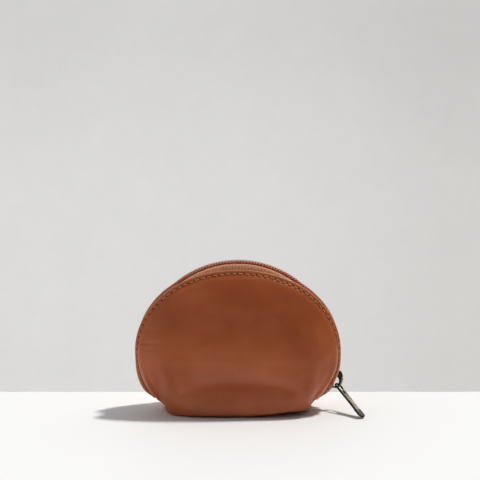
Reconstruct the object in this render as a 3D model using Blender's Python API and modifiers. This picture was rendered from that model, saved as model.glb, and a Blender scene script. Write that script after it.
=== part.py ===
"""Half-moon zippered coin pouch in smooth leather: boxed flat base, two moulded
halves, a coil zipper round the arch and a brass slider with a long pull tab.

Frame: origin at the middle of the base's underside, +X towards the closed
slider, front half towards -Y, +Z up. Run: blender --background --python part.py
"""

import math

import bmesh
import bpy
import numpy as np
from mathutils import Matrix, Vector

# ---------------------------------------------------------------- dimensions
# millimetres
MM = 0.001
HALF_LENGTH = 55.0  # widest half-length of the arch, pouch 110 long
WIDE_Z = 33.0  # height of the widest line
ARCH_RISE = 44.3  # leather edge above the widest line
ARCH_DROP = 34.5  # lower arc's half height
ARCH_POWER = 2.05
DROP_POWER = 3.0
CORNER_X = 39.0  # half-length of the boxed base
CORNER_Z = 3.4  # height of the box corner's notch
EDGE_DEPTH = 6.2  # leather edge from the middle plane
CORNER_DEPTH = 1.7  # the same at the box corners
BASE_HALF_DEPTH = 18.0  # fold line from the middle plane
FOOT_POWER = 3.6
BELLY = 4.1  # how far the front swells past the straight line
LEATHER_T = 1.3
LINING_T = 0.4
TAPE_T = 0.5
GAP = 0.3
FOLD_Z = 1.5  # height of the fold lines that the halves turn on
PANEL_FOOT_Z = 1.75

CHAIN_Z = 29.0  # centre of the zipper's arc
CHAIN_R = 51.4  # radius of the zipper's arc
COIL_HALF_W = 2.05
COIL_HALF_H = 0.9
CLOSED_DEG = -13.0  # slider's place on the arc when closed
OPEN_DEG = 193.0
COIL_START_DEG = -19.0
COIL_END_DEG = 199.4
TAPE_START_DEG = -21.8
TAPE_END_DEG = 202.4
PART_Y = 0.95  # how far each coil moves out round the slider's diamond
TAPE_DROP = 7.0  # tape sewn down inside the leather edge

SLIDER_LENGTH = 10.8
SLIDER_HALF_W = 3.55
SLIDER_REAR_HALF_W = 3.1
CHANNEL_HALF = 1.35
WING_T = 0.7
SLIDER_SINK = -0.1
BRIDGE_W = 1.2

PULL_LENGTH = 27.3
PULL_W = 4.6
PULL_T = 1.0
PULL_BAR = 0.38  # half the eye bar's width
SLOT_WALL = 0.55
SLOT_HALF_W = 0.85
PULL_PIVOT = (-2.9, 3.1)  # along and above the slider's centre
PULL_SHIFT = 1.2  # how far the eye has slid sideways in the bridge
PULL_TIP = (65.6, -19.6, 1.15)  # where the tab's end lies
PULL_ROLL_DEG = 20.0

STITCH_IN = 2.1
STITCH_R = 0.25


# ---------------------------------------------------------------- collections
for ob in list(bpy.data.objects):
    bpy.data.objects.remove(ob, do_unlink=True)

scene = bpy.context.scene
pouch = bpy.data.collections.new("zippered_pouch")
scene.collection.children.link(pouch)
cutters = bpy.data.collections.new("cutters")
scene.collection.children.link(cutters)


def material(name, colour, roughness, metallic=0.0):
    mat = bpy.data.materials.new(name)
    mat.use_nodes = True
    bsdf = mat.node_tree.nodes["Principled BSDF"]
    bsdf.inputs["Base Color"].default_value = (*colour, 1.0)
    bsdf.inputs["Roughness"].default_value = roughness
    bsdf.inputs["Metallic"].default_value = metallic
    return mat


def place(mesh, name, mat, collection=pouch):
    ob = bpy.data.objects.new(name, mesh)
    collection.objects.link(ob)
    mesh.materials.append(mat)
    return ob


# ---------------------------------------------------------------- curves
def even(points, count):
    """Points spaced evenly along a dense polyline."""
    pts = np.asarray(points, float)
    along = np.concatenate([[0], np.cumsum(np.linalg.norm(np.diff(pts, axis=0), axis=1))])
    at = np.linspace(0, along[-1], count)
    return np.stack([np.interp(at, along, pts[:, k]) for k in range(pts.shape[1])], axis=1)


def arch_line():
    """Leather edge in X and Z, from the right box corner over the top to the left one."""
    lower = []
    for z in np.linspace(CORNER_Z, WIDE_Z, 240, endpoint=False):
        lower.append((HALF_LENGTH * (1 - ((WIDE_Z - z) / ARCH_DROP) ** DROP_POWER) ** (1 / DROP_POWER), z))
    shift = CORNER_X - lower[0][0]
    # the lower arc is eased so that it starts exactly at the corner
    lower = [(x + shift * (1 - i / 240), z) for i, (x, z) in enumerate(lower)]
    upper = []
    for a in np.linspace(0, math.pi / 2, 240):
        c, s = math.cos(a), math.sin(a)
        upper.append((HALF_LENGTH * c ** (2 / ARCH_POWER), WIDE_Z + ARCH_RISE * s ** (2 / ARCH_POWER)))
    right = lower + upper
    left = [(-x, z) for x, z in reversed(right[:-1])]
    return right + left


def foot_line():
    """Fold line in X and Y, from the right box corner along the front to the left one."""
    right = []
    for a in np.linspace(0.001, math.pi / 2, 300):
        c, s = math.cos(a), math.sin(a)
        x = CORNER_X * c ** (2 / FOOT_POWER)
        y = max(CORNER_DEPTH, BASE_HALF_DEPTH * s ** (2 / FOOT_POWER))
        right.append((x, -y))
    left = [(-x, y) for x, y in reversed(right[:-1])]
    return right + left


ARCH = even(arch_line(), 601)
FOOT = even(foot_line(), 601)
STATIONS = np.linspace(0, 1, 601)


def smooth(t):
    t = min(1.0, max(0.0, t))
    return t * t * (3 - 2 * t)


def edge_depth(u):
    """Distance of the leather edge from the middle plane."""
    s = min(u, 1 - u)
    return CORNER_DEPTH + (EDGE_DEPTH - CORNER_DEPTH) * smooth(s / 0.055)


def panel_point(u, v):
    """Outer face of the front half: u along the arch, v from the arch's edge down to the fold."""
    u = min(1.0, max(0.0, u))
    ax, az = (np.interp(u, STATIONS, ARCH[:, k]) for k in range(2))
    fx, fy = (np.interp(u, STATIONS, FOOT[:, k]) for k in range(2))
    depth0, depth1 = edge_depth(u), -fy
    rise = math.sin(math.pi / 2 * min(1.0, max(0.0, v)))
    belly = BELLY * math.sin(math.pi * u) ** 0.8 if 0 < u < 1 else 0.0
    swell = math.sin(math.pi * min(1.0, max(0.0, v)) ** 0.9)
    depth = depth0 + (depth1 - depth0) * rise + belly * swell
    return Vector((ax + (fx - ax) * v, -depth, az + (PANEL_FOOT_Z - az) * v))


def panel_normal(u, v):
    e = 0.004
    du = panel_point(min(1, u + e), v) - panel_point(max(0, u - e), v)
    dv = panel_point(u, min(1, v + e)) - panel_point(u, max(0, v - e))
    return du.cross(dv).normalized()


def inside(u, v, depth):
    """A point that far inside the outer face."""
    return panel_point(u, v) - panel_normal(u, v) * depth


def drop_length(u):
    return (panel_point(u, 0) - panel_point(u, 1)).length


def chain_point(deg, y, c=0.0):
    """A point on the zipper's arc: angle, distance across, height above the chain."""
    a = math.radians(deg)
    return Vector(((CHAIN_R + c) * math.cos(a), y, CHAIN_Z + (CHAIN_R + c) * math.sin(a)))


def arch_angle(u):
    x, z = (np.interp(u, STATIONS, ARCH[:, k]) for k in range(2))
    a = math.degrees(math.atan2(z - CHAIN_Z, x))
    return a if a > -90 else a + 360


def arch_at(deg):
    """Station of the arch at an angle about the zipper's centre."""
    angles = [arch_angle(u) for u in STATIONS]
    return float(np.interp(deg, angles, STATIONS))


def parting(deg):
    """How far a coil has moved out round the diamond of the closed slider."""
    return PART_Y * smooth((CLOSED_DEG + 0.5 - deg) / 4.0)


# ---------------------------------------------------------------- mesh makers
def loft(rows, name, mat, thickness=None, side=1, inward=1.0):
    """A sheet lofted through rows of points, thickened towards the inside. side -1 makes the back one."""
    bm = bmesh.new()
    grid = [[bm.verts.new(Vector((p.x, p.y * side, p.z)) * MM) for p in row] for row in rows]
    for i in range(len(grid) - 1):
        for j in range(len(grid[0]) - 1):
            quad = [grid[i][j], grid[i + 1][j], grid[i + 1][j + 1], grid[i][j + 1]]
            bm.faces.new(quad if side > 0 else list(reversed(quad)))
    mesh = bpy.data.meshes.new(name)
    bm.to_mesh(mesh)
    bm.free()
    ob = place(mesh, name, mat)
    solid = ob.modifiers.new("thickness", "SOLIDIFY")
    solid.thickness = thickness * MM
    solid.offset = -1.0 if inward > 0 else 0.0
    solid.use_even_offset = False
    mesh.shade_smooth()
    return ob


def sweep(sections, name, mat):
    """A closed solid through rings of points."""
    bm = bmesh.new()
    rings = [[bm.verts.new(Vector(p) * MM) for p in ring] for ring in sections]
    n = len(rings[0])
    for a, b in zip(rings, rings[1:]):
        for k in range(n):
            bm.faces.new((a[k], a[(k + 1) % n], b[(k + 1) % n], b[k]))
    bm.faces.new(list(reversed(rings[0])))
    bm.faces.new(rings[-1])
    bmesh.ops.recalc_face_normals(bm, faces=bm.faces)
    mesh = bpy.data.meshes.new(name)
    bm.to_mesh(mesh)
    bm.free()
    return place(mesh, name, mat)


def plate(outline, low, high, name, mat, bevel=0.0, collection=pouch):
    """A flat outline given thickness from a 2D curve, edges rounded by Bevel."""
    curve = bpy.data.curves.new(name, "CURVE")
    curve.dimensions = "2D"
    curve.fill_mode = "BOTH"
    curve.extrude = (high - low) / 2 * MM
    for loop in outline:
        spline = curve.splines.new("POLY")
        spline.points.add(len(loop) - 1)
        for p, (x, y) in zip(spline.points, loop):
            p.co = (x * MM, y * MM, 0, 1)
        spline.use_cyclic_u = True
    maker = bpy.data.objects.new(name + "_outline", curve)
    scene.collection.objects.link(maker)
    bpy.context.view_layer.update()
    mesh = bpy.data.meshes.new_from_object(maker.evaluated_get(bpy.context.evaluated_depsgraph_get()))
    bpy.data.objects.remove(maker, do_unlink=True)
    bm = bmesh.new()
    bm.from_mesh(mesh)
    bmesh.ops.remove_doubles(bm, verts=bm.verts, dist=1e-6)
    bmesh.ops.dissolve_limit(bm, angle_limit=math.radians(1), verts=bm.verts, edges=bm.edges)
    bmesh.ops.recalc_face_normals(bm, faces=bm.faces)
    bmesh.ops.translate(bm, vec=Vector((0, 0, (low + high) / 2 * MM)), verts=bm.verts)
    bm.to_mesh(mesh)
    bm.free()
    mesh.name = name
    mesh.materials.clear()
    ob = place(mesh, name, mat, collection)
    if bevel:
        rounding = ob.modifiers.new("edges", "BEVEL")
        rounding.width = bevel * MM
        rounding.segments = 2
        rounding.limit_method = "ANGLE"
        rounding.angle_limit = math.radians(50)
    return ob


def thread(points, name, mat, radius=STITCH_R):
    """A sewing thread as a bevelled poly curve."""
    curve = bpy.data.curves.new(name, "CURVE")
    curve.dimensions = "3D"
    curve.bevel_depth = radius * MM
    curve.bevel_resolution = 1
    curve.use_fill_caps = True
    spline = curve.splines.new("POLY")
    spline.points.add(len(points) - 1)
    for p, q in zip(spline.points, points):
        p.co = (q[0] * MM, q[1] * MM, q[2] * MM, 1)
    ob = bpy.data.objects.new(name, curve)
    pouch.objects.link(ob)
    curve.materials.append(mat)
    weld = ob.modifiers.new("weld", "WELD")
    weld.merge_threshold = 0.00001
    return ob


# ---------------------------------------------------------------- materials
leather = material("cognac_leather", (0.30, 0.095, 0.038), 0.42)
leather_base = material("cognac_leather_base", (0.26, 0.085, 0.035), 0.5)
lining_cloth = material("lining_fabric", (0.13, 0.06, 0.035), 0.85)
tape_cloth = material("zipper_tape", (0.36, 0.12, 0.065), 0.8)
nylon = material("zipper_nylon", (0.33, 0.11, 0.06), 0.5)
brass = material("antique_brass", (0.36, 0.29, 0.18), 0.35, 1.0)
cotton = material("rust_thread", (0.36, 0.13, 0.05), 0.7)

# ---------------------------------------------------------------- leather shell
U_STEPS, V_STEPS = 42, 9
stations = [smooth(i / U_STEPS) * 0.25 + i / U_STEPS * 0.75 for i in range(U_STEPS + 1)]
panel_rows = [[panel_point(u, j / V_STEPS) for j in range(V_STEPS + 1)] for u in stations]
front_panel = loft(panel_rows, "front_panel", leather, LEATHER_T)
back_panel = loft(panel_rows, "back_panel", leather, LEATHER_T, side=-1)


def foot_loop(half_x, half_y, count=56):
    loop = []
    for i in range(count):
        a = 2 * math.pi * i / count
        c, s = math.cos(a), math.sin(a)
        loop.append((math.copysign(half_x * abs(c) ** (2 / FOOT_POWER), c), math.copysign(half_y * abs(s) ** (2 / FOOT_POWER), s)))
    return loop


base_panel = plate([foot_loop(CORNER_X - 0.3, BASE_HALF_DEPTH - 0.3)], 0.0, LEATHER_T, "base_panel", leather_base, 0.35)

# ---------------------------------------------------------------- lining
LINING_DEPTH = LEATHER_T + GAP + TAPE_T + GAP + 0.1
lining_rows = []
for i in range(27):
    u = 0.085 + 0.83 * i / 26
    top = max(0.02, 7.8 / drop_length(u))
    lining_rows.append([inside(u, top + (0.965 - top) * j / 6, LINING_DEPTH) for j in range(7)])
front_lining = loft(lining_rows, "front_lining", lining_cloth, LINING_T)
back_lining = loft(lining_rows, "back_lining", lining_cloth, LINING_T, side=-1)
base_lining = plate([foot_loop(CORNER_X - 3.6, BASE_HALF_DEPTH - 3.5, 40)], LEATHER_T + GAP, LEATHER_T + GAP + LINING_T, "base_lining", lining_cloth)

# ---------------------------------------------------------------- zipper tapes
def chain_stations(start, end, steps):
    """Angles along the chain, closer together where the coils part."""
    return [start + (end - start) * (0.35 * i / steps + 0.65 * (i / steps) ** 2) for i in range(steps + 1)]


tape_rows = []
for deg in chain_stations(TAPE_START_DEG, TAPE_END_DEG, 50):
    u = arch_at(deg)
    edge = panel_point(u, 0)
    edge_r = math.hypot(edge.x, edge.z - CHAIN_Z)
    below = max(0.9, edge_r - (CHAIN_R - 1.3))
    length = drop_length(u)
    # the sewn-down part narrows and lies a little deeper at the tape's two ends
    full = smooth(min(deg - TAPE_START_DEG, TAPE_END_DEG - deg) / 12.0)
    drop = TAPE_DROP * (0.3 + 0.7 * full)
    sewn = LEATHER_T + GAP + TAPE_T / 2 + 0.4 * (1 - full)
    tape_rows.append(
        [
            chain_point(deg, -(COIL_HALF_W + GAP + parting(deg))),
            chain_point(deg, -(3.85), -0.02),
            inside(u, below / length, sewn),
            inside(u, (below + drop * 0.5) / length, sewn),
            inside(u, (below + drop) / length, sewn),
        ]
    )
zipper_tape_front = loft(tape_rows, "zipper_tape_front", tape_cloth, TAPE_T, inward=0)
zipper_tape_back = loft(tape_rows, "zipper_tape_back", tape_cloth, TAPE_T, side=-1, inward=0)


# ---------------------------------------------------------------- coils and stops
def coil(side, name):
    rings = []
    for deg in chain_stations(COIL_START_DEG, COIL_END_DEG, 52):
        out = parting(deg)
        h, w, b = COIL_HALF_H, COIL_HALF_W, 0.45
        section = [(0.15, -h + b), (0.15 + b, -h), (w - b, -h), (w, -h + b), (w, h - b), (w - b, h), (0.15 + b, h), (0.15, h - b)]
        rings.append([chain_point(deg, side * (y + out), c) for y, c in section])
    return sweep(rings, name, nylon)


zipper_coil_front = coil(-1, "zipper_coil_front")
zipper_coil_back = coil(1, "zipper_coil_back")


def stop(start, end, y0, y1, half_h, name):
    rings = []
    for deg, inset in ((start, 0.25), (start + 0.35, 0.0), (end - 0.35, 0.0), (end, 0.25)):
        a, b, h = y0 + inset, y1 - inset, half_h - inset
        rings.append([chain_point(deg, a, -h), chain_point(deg, b, -h), chain_point(deg, b, h), chain_point(deg, a, h)])
    return sweep(rings, name, brass)


top_stop_front = stop(-21.4, -19.4, -(PART_Y + 2.05), -(PART_Y + 0.15), 1.0, "top_stop_front")
top_stop_back = stop(-21.4, -19.4, PART_Y + 0.15, PART_Y + 2.05, 1.0, "top_stop_back")
bottom_stop = stop(199.8, 202.0, -1.95, 1.95, 1.1, "bottom_stop")

# ---------------------------------------------------------------- slider
# Slider axes at rest: along the chain (up), across (to the front), out of the arch.
closed = math.radians(CLOSED_DEG)
ALONG = Vector((-math.sin(closed), 0, math.cos(closed)))
OUT = Vector((math.cos(closed), 0, math.sin(closed)))
ACROSS = Vector((0, -1, 0))
BACK = Vector((0, 1, 0))
SLIDER_AT = chain_point(CLOSED_DEG, 0)
slider_matrix = Matrix((ALONG, ACROSS, OUT)).transposed().to_4x4()
slider_matrix.translation = SLIDER_AT * MM

slider_frame = bpy.data.objects.new("slider_travel", None)
pouch.objects.link(slider_frame)
slider_frame.location = Vector((0, 0, CHAIN_Z)) * MM


def join(base, others):
    """Union of simple bodies, applied, so that one closed body is left."""
    for other in others:
        mod = base.modifiers.new("join", "BOOLEAN")
        mod.operation = "UNION"
        mod.solver = "EXACT"
        mod.object = other
    bpy.context.view_layer.update()
    mesh = bpy.data.meshes.new_from_object(base.evaluated_get(bpy.context.evaluated_depsgraph_get()))
    base.modifiers.clear()
    old = base.data
    base.data = mesh
    bpy.data.meshes.remove(old)
    for other in others:
        bpy.data.objects.remove(other, do_unlink=True)
    bm = bmesh.new()
    bm.from_mesh(base.data)
    bmesh.ops.remove_doubles(bm, verts=bm.verts, dist=2e-6)
    bmesh.ops.dissolve_limit(bm, angle_limit=math.radians(0.5), verts=bm.verts, edges=bm.edges)
    bmesh.ops.triangulate(bm, faces=bm.faces)
    bm.to_mesh(base.data)
    bm.free()
    return base


def wing_outline(grow=0.0):
    """Slider wing seen from above: wide rounded nose, narrower rear."""
    half, front, rear = SLIDER_LENGTH / 2, SLIDER_HALF_W + grow, SLIDER_REAR_HALF_W + grow
    pts = []
    for i in range(9):
        a = math.radians(90 + 90 * i / 8)
        pts.append((-half + 2.4 + 2.4 * math.cos(a), front - 2.0 + 2.0 * math.sin(a)))
    pts += [(x, -y) for x, y in reversed(pts)]
    for i in range(7):
        a = math.radians(-90 + 90 * i / 6)
        pts.append((half - 1.4 + 1.4 * math.cos(a), -rear + 1.2 + 1.2 * math.sin(a)))
    pts += [(x, -y) for x, y in reversed(pts[-7:])]
    return pts


def flange(y_side, low, high):
    f, r = SLIDER_HALF_W, SLIDER_REAR_HALF_W
    loop = [(-3.2, f - 0.05), (-3.2, f - 0.42), (1.0, (f + r) / 2 - 0.42), (4.4, r - 0.42), (4.4, r - 0.05), (1.0, (f + r) / 2 - 0.02)]
    loop = [(x, y * y_side) for x, y in loop]
    return plate([loop if y_side < 0 else list(reversed(loop))], low, high, "flange", brass, collection=cutters)


ch, wt, sink = CHANNEL_HALF, WING_T, SLIDER_SINK
slider_body = plate([wing_outline()], sink - ch - wt, sink - ch, "slider_body", brass, 0.0)
upper_wing = plate([wing_outline()], sink + ch, sink + ch + wt, "upper_wing", brass, 0.0, cutters)
diamond = plate([[(-0.9, 0.0), (-3.2, 0.78), (-4.6, 0.7), (-5.0, 0.0), (-4.6, -0.7), (-3.2, -0.78)]], sink - ch - 0.3, sink + ch + 0.3, "diamond", brass, 0.0, cutters)
walls = []
for ys in (-1, 1):
    walls.append(flange(ys, sink + ch - 0.55, sink + ch + 0.25))
    walls.append(flange(ys, sink - ch - 0.25, sink - ch + 0.55))
join(slider_body, [upper_wing, diamond, *walls])
slider_body.parent = slider_frame
slider_body.matrix_world = slider_matrix

# bridge: an arch along the slider, its hole open from side to side
wing_top = sink + ch + wt
foot = wing_top + GAP
bridge_outer = [(-5.15, foot), (-5.15, 3.7), (-4.9, 4.7), (-4.3, 5.5), (-3.3, 6.0), (-1.4, 6.2), (0.6, 6.2), (2.5, 5.95), (4.0, 5.1), (4.8, 3.9), (5.0, foot)]
bridge_inner = [(1.5, foot), (1.35, 3.1), (1.0, 3.8), (0.4, 4.3), (-0.3, 4.6), (-1.0, 4.85), (-3.3, 4.85), (-4.05, 4.5), (-4.35, 3.8), (-4.35, foot)]
profile = bridge_outer + bridge_inner
slider_bridge = plate([profile], -BRIDGE_W / 2, BRIDGE_W / 2, "slider_bridge", brass, 0.18)
# the outline is drawn along and out, so it stands up across the slider
stand = Matrix.Rotation(math.radians(90), 4, "X")
slider_bridge.parent = slider_frame
slider_bridge.matrix_world = slider_matrix @ stand

# ---------------------------------------------------------------- pull tab
roll = math.radians(PULL_ROLL_DEG)


def pull_axes(start):
    """Length, width and face directions of a tab from that point to its resting tip."""
    length = (Vector(PULL_TIP) - start).normalized()
    across = (BACK - length * BACK.dot(length)).normalized()
    across = across * math.cos(roll) + length.cross(across) * math.sin(roll)
    return length, across, length.cross(across)


pivot = SLIDER_AT + ALONG * PULL_PIVOT[0] + OUT * PULL_PIVOT[1]
pivot = pivot + pull_axes(pivot)[1] * PULL_SHIFT
pull_dir, pull_w, pull_n = pull_axes(pivot)

pull_frame = bpy.data.objects.new("pull_swing", None)
pouch.objects.link(pull_frame)
pull_frame.location = pivot * MM
pull_matrix = Matrix((pull_dir, pull_w, pull_n)).transposed().to_4x4()
pull_matrix.translation = pivot * MM


def pull_outline():
    """Long tab: round eye end, straight sides, rounded bulb."""
    h = PULL_W / 2
    end = PULL_LENGTH
    centre = h - PULL_BAR
    side = []
    for i in range(7):
        a = math.radians(90 * i / 6)
        side.append((centre - h * math.cos(a), h * math.sin(a)))
    side += [(19.8, h - 0.35), (20.8, h - 0.2), (22.0, h)]
    for i in range(7):
        a = math.radians(80 - 80 * i / 6)
        side.append((end - h + h * math.cos(a), h * math.sin(a)))
    return side + [(x, -y) for x, y in reversed(side[1:-1])]


def slot_outline():
    """Round eye for the bridge, running out into a narrow slot."""
    h = PULL_W / 2 - SLOT_WALL
    side = []
    for i in range(7):
        a = math.radians(90 * i / 6)
        side.append((PULL_BAR + h - h * math.cos(a), h * math.sin(a)))
    side += [(3.9, h), (5.2, SLOT_HALF_W + 0.1), (5.7, SLOT_HALF_W), (8.3, SLOT_HALF_W), (8.8, SLOT_HALF_W - 0.4), (8.8, 0.0)]
    return side + [(x, -y) for x, y in reversed(side[1:-1])]


pull_tab = plate([pull_outline(), slot_outline()], -PULL_T / 2, PULL_T / 2, "pull_tab", brass, 0.22)
pull_frame.parent = slider_frame
pull_frame.matrix_parent_inverse = Matrix.Translation(-slider_frame.location)
pull_tab.parent = pull_frame
bpy.context.view_layer.update()
pull_tab.matrix_world = pull_matrix

# ---------------------------------------------------------------- sewing
stitch_points = []
for i in range(49):
    u = 0.03 + 0.94 * i / 48
    stitch_points.append(inside(u, STITCH_IN / drop_length(u), -(STITCH_R + GAP)))
front_topstitch = thread(stitch_points, "front_topstitch", cotton)
back_topstitch = thread([Vector((p.x, -p.y, p.z)) for p in stitch_points], "back_topstitch", cotton)
for side, name in ((1, "corner_stitch_right"), (-1, "corner_stitch_left")):
    thread([(side * (CORNER_X + 0.55), y, FOLD_Z + 0.05) for y in np.linspace(-8.0, 8.0, 9)], name, cotton, 0.2)

bpy.context.view_layer.update()
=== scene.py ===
"""Looks of the half-moon zippered coin pouch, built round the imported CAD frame."""

import math

import bmesh
import bpy
import numpy as np
from mathutils import Matrix, Vector


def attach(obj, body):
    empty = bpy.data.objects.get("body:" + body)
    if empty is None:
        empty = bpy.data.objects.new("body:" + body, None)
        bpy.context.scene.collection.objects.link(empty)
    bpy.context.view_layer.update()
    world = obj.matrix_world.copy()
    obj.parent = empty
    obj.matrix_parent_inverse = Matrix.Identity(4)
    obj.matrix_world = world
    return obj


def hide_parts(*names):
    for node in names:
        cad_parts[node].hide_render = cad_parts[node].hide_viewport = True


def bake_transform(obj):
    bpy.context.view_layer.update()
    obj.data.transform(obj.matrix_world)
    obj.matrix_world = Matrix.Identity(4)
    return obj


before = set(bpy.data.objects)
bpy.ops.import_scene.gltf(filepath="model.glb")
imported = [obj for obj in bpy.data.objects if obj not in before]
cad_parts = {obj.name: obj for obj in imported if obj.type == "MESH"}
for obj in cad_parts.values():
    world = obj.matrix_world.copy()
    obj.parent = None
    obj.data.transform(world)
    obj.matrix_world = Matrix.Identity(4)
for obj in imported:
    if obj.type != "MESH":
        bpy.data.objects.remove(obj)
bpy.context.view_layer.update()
MM = 0.001

# ------------------------------------------------------------ the frame's sizes, in mm
HALF_LENGTH, WIDE_Z, ARCH_RISE, ARCH_DROP = 55.0, 33.0, 44.3, 34.5
ARCH_POWER, DROP_POWER = 2.05, 3.0
CORNER_X, CORNER_Z = 39.0, 3.4
EDGE_DEPTH, CORNER_DEPTH, BASE_HALF_DEPTH = 6.2, 1.36, 18.0
FOOT_POWER, BELLY, LEATHER_T, FOOT_Z = 3.6, 4.1, 1.3, 1.75
CHAIN_Z, CHAIN_R = 29.0, 51.4
CLOSED_DEG = -13.0
COIL_START_DEG, COIL_END_DEG = -19.0, 199.4
TAPE_START_DEG, TAPE_END_DEG = -21.4, 202.0
PART_Y = 0.95
SLIDER_SINK = -0.1
STITCH_IN, STITCH_PITCH = 2.1, 3.4
COIL_PITCH = 1.6


# ------------------------------------------------------------ small helpers
def smooth(t):
    t = np.clip(t, 0.0, 1.0)
    return t * t * (3 - 2 * t)


def bell(x, width):
    return np.exp(-((x / width) ** 2))


def even(points, count):
    pts = np.asarray(points, float)
    along = np.concatenate([[0], np.cumsum(np.linalg.norm(np.diff(pts, axis=0), axis=1))])
    at = np.linspace(0, along[-1], count)
    return np.stack([np.interp(at, along, pts[:, k]) for k in range(pts.shape[1])], axis=1)


def unit(v):
    return v / np.maximum(np.linalg.norm(v, axis=-1, keepdims=True), 1e-12)


def waves(x, y, seed, scale):
    """Slow, smooth unevenness between about -1 and 1."""
    rng = np.random.RandomState(seed)
    total = np.zeros(np.broadcast(x, y).shape)
    for _ in range(7):
        a, k, p = rng.uniform(0, 2 * math.pi), rng.uniform(0.6, 1.7) / scale, rng.uniform(0, 2 * math.pi)
        total = total + np.sin(2 * math.pi * k * (x * math.cos(a) + y * math.sin(a)) + p)
    return total / 3.0


def arch_line():
    lower = []
    for z in np.linspace(CORNER_Z, WIDE_Z, 240, endpoint=False):
        lower.append((HALF_LENGTH * (1 - ((WIDE_Z - z) / ARCH_DROP) ** DROP_POWER) ** (1 / DROP_POWER), z))
    shift = CORNER_X - lower[0][0]
    lower = [(x + shift * (1 - i / 240), z) for i, (x, z) in enumerate(lower)]
    upper = []
    for a in np.linspace(0, math.pi / 2, 240):
        c, s = math.cos(a), math.sin(a)
        upper.append((HALF_LENGTH * c ** (2 / ARCH_POWER), WIDE_Z + ARCH_RISE * s ** (2 / ARCH_POWER)))
    right = lower + upper
    # the wing's lower edge runs in nearly level to the box corner
    right = [(x, z + 1.25 * max(0.0, 1 - (z - CORNER_Z) / 7.0) ** 2 if x > 0 else z) for x, z in right]
    left = [(-x, z) for x, z in reversed(right[:-1])]
    # the slider draws the edge in a little on its side
    right = [(x - 0.8 * math.exp(-(((z - 16.5) / 6.0) ** 2)), z) for x, z in right]
    return right + left


def foot_line():
    right = []
    for a in np.linspace(0.001, math.pi / 2, 300):
        c, s = math.cos(a), math.sin(a)
        right.append((CORNER_X * c ** (2 / FOOT_POWER), -max(CORNER_DEPTH, BASE_HALF_DEPTH * s ** (2 / FOOT_POWER))))
    return right + [(-x, y) for x, y in reversed(right[:-1])]


ARCH, FOOT = even(arch_line(), 1201), even(foot_line(), 1201)
STATIONS = np.linspace(0, 1, 1201)
ARCH_LENGTH = float(np.linalg.norm(np.diff(ARCH, axis=0), axis=1).sum())
ARCH_ANGLE = np.degrees(np.arctan2(ARCH[:, 1] - CHAIN_Z, ARCH[:, 0]))
ARCH_ANGLE = np.where(ARCH_ANGLE < -90, ARCH_ANGLE + 360, ARCH_ANGLE)


def at_station(u, table, k):
    return np.interp(u, STATIONS, table[:, k])


def edge_depth(u):
    s = np.minimum(u, 1 - u)
    return CORNER_DEPTH + (EDGE_DEPTH - CORNER_DEPTH) * smooth((s - 0.012) / 0.05)


# How deep the front stands in the middle of the pouch, by height: it leans back from the
# base, sinks in a soft crease above the boxed band, then rounds over to the zipper.
PROFILE_Z = [0.0, 3.0, 8.0, 14.0, 19.0, 24.0, 30.0, 36.0, 43.0, 50.0, 58.0, 66.0, 72.0, 77.3]
PROFILE_Y = [19.4, 19.6, 19.5, 18.85, 18.2, 18.15, 17.95, 17.2, 15.95, 14.75, 13.35, 11.3, 9.1, 6.2]
fine_z = np.linspace(0, 77.3, 400)
fine_y = np.interp(fine_z, PROFILE_Z, PROFILE_Y)
kernel = np.exp(-(np.linspace(-2, 2, 25) ** 2))
kernel /= kernel.sum()
fine_y = np.convolve(np.pad(fine_y, 12, mode="edge"), kernel, mode="valid")


def lift(x, y):
    """The base's front edge arches a little off the table, and its right corner curls up more."""
    corner = 1.75 * smooth((x - 1.0) / 31.0) * (1 - smooth((y + 15.0) / 19.0))
    return corner + 0.75 * (1 - smooth((y + 17.5) / 6.5)) * smooth((x + 39.5) / 12.0)


def shell(u, v, back=False):
    """Outer face of the front half before its small details, in mm."""
    u, v = np.broadcast_arrays(np.clip(u, 0, 1), v)
    ax, az = at_station(u, ARCH, 0), at_station(u, ARCH, 1)
    fx, fy = at_station(u, FOOT, 0), at_station(u, FOOT, 1)
    vv = np.clip(v, 0, 1)
    depth0, depth1 = edge_depth(u), -fy
    around = np.sin(math.pi * u)
    depth = depth0 + (depth1 - depth0) * np.sin(math.pi / 2 * vv) + BELLY * np.maximum(around, 0) ** 0.8 * np.sin(math.pi * vv ** 0.9)
    # at the lower corners the wing runs in level first, then the box's end stands upright
    wing = 1 - smooth((np.minimum(u, 1 - u) - 0.045) / 0.13)
    x = ax + (fx - ax) * np.where(v > 0, 1 - np.maximum(1 - vv, 0) ** (1 + 0.8 * wing), v)
    z = az + (FOOT_Z - az) * np.where(v > 0, vv ** (1 + 0.25 * wing), v)
    middle = EDGE_DEPTH + (BASE_HALF_DEPTH - EDGE_DEPTH) * np.sin(math.pi / 2 * np.clip((77.3 - z) / 75.55, 0, 1))
    middle = middle + BELLY * np.sin(math.pi * np.clip((77.3 - z) / 75.55, 0, 1) ** 0.9)
    change = np.interp(z, fine_z, fine_y) - middle
    depth = depth + change * smooth((49.0 - np.abs(x)) / 30.0) * smooth((vv * 60.0) / 8.0)
    return np.stack([x, -depth, z], axis=-1)


def drop_length(u):
    p, q = shell(u, np.zeros_like(u)), shell(u, np.ones_like(u))
    return np.linalg.norm(p - q, axis=-1)


def normals(u, v, surface=shell):
    e = 0.003
    du = surface(np.clip(u + e, 0, 1), v) - surface(np.clip(u - e, 0, 1), v)
    dv = surface(u, np.clip(v + e, 0, 1)) - surface(u, np.clip(v - e, 0, 1))
    return unit(np.cross(du, dv))


STITCH_FROM = 0.022  # first hole, as a station of the arch
STITCHES = int(round((1 - 2 * STITCH_FROM) * ARCH_LENGTH / STITCH_PITCH))


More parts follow.
